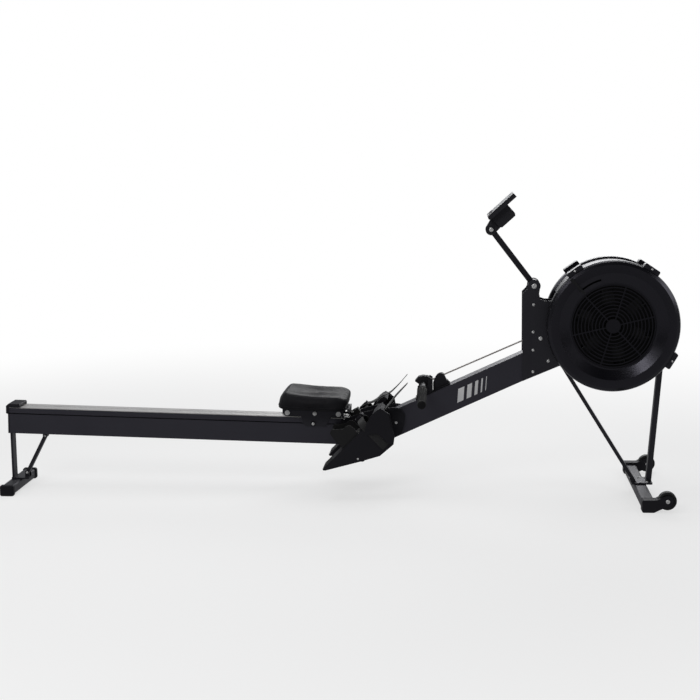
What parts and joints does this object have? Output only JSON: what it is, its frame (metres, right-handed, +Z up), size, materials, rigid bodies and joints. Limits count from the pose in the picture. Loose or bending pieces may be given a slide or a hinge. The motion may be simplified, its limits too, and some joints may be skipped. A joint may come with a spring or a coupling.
{
  "type": "rowing machine",
  "caption": "Indoor air rowing machine: sliding seat on a long rail, foot boards, pull handle on a chain, caged fan wheel, tilting monitor and a foot with transport wheels.",
  "frame": {"origin": "on the floor, under the middle of the machine's overall box", "axes": "+X from the rear foot towards the fan cage, +Y away from the side seen in the picture, +Z up"},
  "size_m": [2.404, 0.606, 1.063],
  "materials": {
    "rail_paint": "satin dark grey coating",
    "track_steel": "brushed",
    "black_plastic": "matte",
    "black_rubber": "matte",
    "frame_paint": "satin",
    "joint_plastic": "matte",
    "zinc": "bright",
    "chain_steel": "oiled",
    "cord_fabric": "woven",
    "bearing_steel": "ground",
    "cage_plastic": "satin",
    "grille_plastic": "satin",
    "shell_plastic": "matte",
    "strap_fabric": "webbing",
    "seat_cover": "soft matte",
    "roller_plastic": "smooth",
    "handle_metal": "black coating",
    "grip_rubber": "ribbed",
    "fan_metal": "plain",
    "disc_steel": "plain",
    "lever_plastic": "satin",
    "arm_plastic": "satin",
    "case_plastic": "satin",
    "screen": "glossy",
    "button_plastic": "matte",
    "wheel_plastic": "matte",
    "heel_plastic": "matte"
  },
  "bodies": {
    "frame": {"monorail": "rail_paint", "rail_track": "track_steel", "rear_end_cap": "black_plastic", "front_seat_stop": "black_rubber", "rear_stand": "frame_paint", "rear_brace": "frame_paint", "brace_bracket": "frame_paint", "rear_foot_caps": "black_plastic", "boom": "rail_paint", "joint_plates": "joint_plastic", "upright_plates": "frame_paint", "plate_spacers": "frame_paint", "frame_bolts": "zinc", "chain_loop": "chain_steel", "chain_run": "chain_steel", "return_cord": "cord_fabric", "chain_guide": "black_plastic", "handle_rest": "black_plastic", "axle_bearings": "bearing_steel", "cage_cover_near": "cage_plastic", "cage_cover_far": "cage_plastic", "cage_grilles": "grille_plastic", "cover_screws": "zinc", "rear_strut": "frame_paint", "front_strut": "frame_paint", "front_foot": "frame_paint", "wheel_brackets": "black_plastic", "stretcher_tubes": "frame_paint", "foot_boards": "shell_plastic", "toe_shells": "joint_plastic", "foot_straps": "strap_fabric", "strap_buckles": "black_plastic"},
    "seat": {"seat_carriage": "frame_paint", "roller_axles": "zinc", "guide_shoes": "black_plastic", "seat_pan": "black_plastic", "seat_pad": "seat_cover"},
    "rear_rollers": {"rear_rollers": "roller_plastic"},
    "front_rollers": {"front_rollers": "roller_plastic"},
    "handle": {"handle_bar": "handle_metal", "handle_grips": "grip_rubber", "handle_yoke": "black_plastic"},
    "flywheel": {"flywheel_axle": "bearing_steel", "fan": "fan_metal", "inertia_disc": "disc_steel"},
    "sprocket": {"chain_sprocket": "chain_steel"},
    "chain_idler": {"chain_idler": "roller_plastic"},
    "return_idler": {"return_idler": "roller_plastic"},
    "damper": {"damper": "lever_plastic"},
    "arm": {"monitor_arm": "arm_plastic"},
    "monitor": {"monitor_back": "case_plastic", "monitor_case": "case_plastic", "monitor_screen": "screen"},
    "button_left": {"monitor_button_left": "button_plastic"},
    "button_middle": {"monitor_button_middle": "button_plastic"},
    "button_right": {"monitor_button_right": "button_plastic"},
    "wheel_near": {"transport_wheel_near": "wheel_plastic"},
    "wheel_far": {"transport_wheel_far": "wheel_plastic"},
    "heel_near": {"heel_cup_near": "heel_plastic"},
    "heel_far": {"heel_cup_far": "heel_plastic"}
  },
  "joints": [
    {"name": "seat_slide", "type": "slide", "parent": "frame", "child": "seat", "axis": [-0.9996, 0, 0.0299], "range_m": [0, 0.962]},
    {"name": "rear_roller_spin", "type": "hinge", "parent": "seat", "child": "rear_rollers", "pos_m": [-0.16793, 0, 0.29013], "axis": [0, 1, 0], "range_deg": [-3700, 20]},
    {"name": "front_roller_spin", "type": "hinge", "parent": "seat", "child": "front_rollers", "pos_m": [0.01499, 0, 0.28466], "axis": [0, 1, 0], "range_deg": [-3700, 20]},
    {"name": "handle_pull", "type": "slide", "parent": "frame", "child": "handle", "axis": [-0.9781, 0, 0.2079], "range_m": [0, 1.2], "stiffness_N_per_m": 30, "springref_m": -0.5},
    {"name": "sprocket_spin", "type": "hinge", "parent": "frame", "child": "sprocket", "pos_m": [0.974, 0, 0.604], "axis": [0, 1, 0], "range_deg": [-3450, 20]},
    {"name": "chain_idler_spin", "type": "hinge", "parent": "frame", "child": "chain_idler", "pos_m": [0.728, 0, 0.555], "axis": [0, 1, 0], "range_deg": [-5300, 20]},
    {"name": "return_idler_spin", "type": "hinge", "parent": "frame", "child": "return_idler", "pos_m": [0.755, 0, 0.475], "axis": [0, 1, 0], "range_deg": [-20, 5300]},
    {"name": "flywheel_spin", "type": "hinge", "parent": "frame", "child": "flywheel", "pos_m": [0.974, 0, 0.604], "axis": [0, 1, 0], "continuous": true},
    {"name": "damper_turn", "type": "hinge", "parent": "frame", "child": "damper", "pos_m": [0.974, 0, 0.604], "axis": [0, 1, 0], "range_deg": [0, 24]},
    {"name": "arm_swing", "type": "hinge", "parent": "frame", "child": "arm", "pos_m": [0.705, 0, 0.739], "axis": [0, 1, 0], "range_deg": [-45, 30]},
    {"name": "monitor_tilt", "type": "hinge", "parent": "arm", "child": "monitor", "pos_m": [0.556, 0, 0.935], "axis": [0, 1, 0], "range_deg": [-20, 25]},
    {"name": "wheel_near_spin", "type": "hinge", "parent": "frame", "child": "wheel_near", "pos_m": [1.141, -0.281, 0.038], "axis": [0, 1, 0], "continuous": true},
    {"name": "wheel_far_spin", "type": "hinge", "parent": "frame", "child": "wheel_far", "pos_m": [1.141, 0.281, 0.038], "axis": [0, 1, 0], "continuous": true},
    {"name": "heel_near_slide", "type": "slide", "parent": "frame", "child": "heel_near", "axis": [-0.7071, 0, -0.7071], "range_m": [0, 0.04]},
    {"name": "heel_far_slide", "type": "slide", "parent": "frame", "child": "heel_far", "axis": [-0.7071, 0, -0.7071], "range_m": [0, 0.04]},
    {"name": "press_left", "type": "slide", "parent": "monitor", "child": "button_left", "axis": [0.6639, 0, -0.7478], "range_m": [0, 0.0015], "stiffness_N_per_m": 400, "springref_m": -0.001},
    {"name": "press_middle", "type": "slide", "parent": "monitor", "child": "button_middle", "axis": [0.6639, 0, -0.7478], "range_m": [0, 0.0015], "stiffness_N_per_m": 400, "springref_m": -0.001},
    {"name": "press_right", "type": "slide", "parent": "monitor", "child": "button_right", "axis": [0.6639, 0, -0.7478], "range_m": [0, 0.0015], "stiffness_N_per_m": 400, "springref_m": -0.001}
  ],
  "couplings": [
    {"joint": "rear_roller_spin", "follows": "seat_slide", "rad_per_m": -66.89},
    {"joint": "front_roller_spin", "follows": "seat_slide", "rad_per_m": -66.89},
    {"joint": "sprocket_spin", "follows": "handle_pull", "rad_per_m": -49.26},
    {"joint": "chain_idler_spin", "follows": "handle_pull", "rad_per_m": -76.34},
    {"joint": "return_idler_spin", "follows": "handle_pull", "rad_per_m": 76.34}
  ]
}
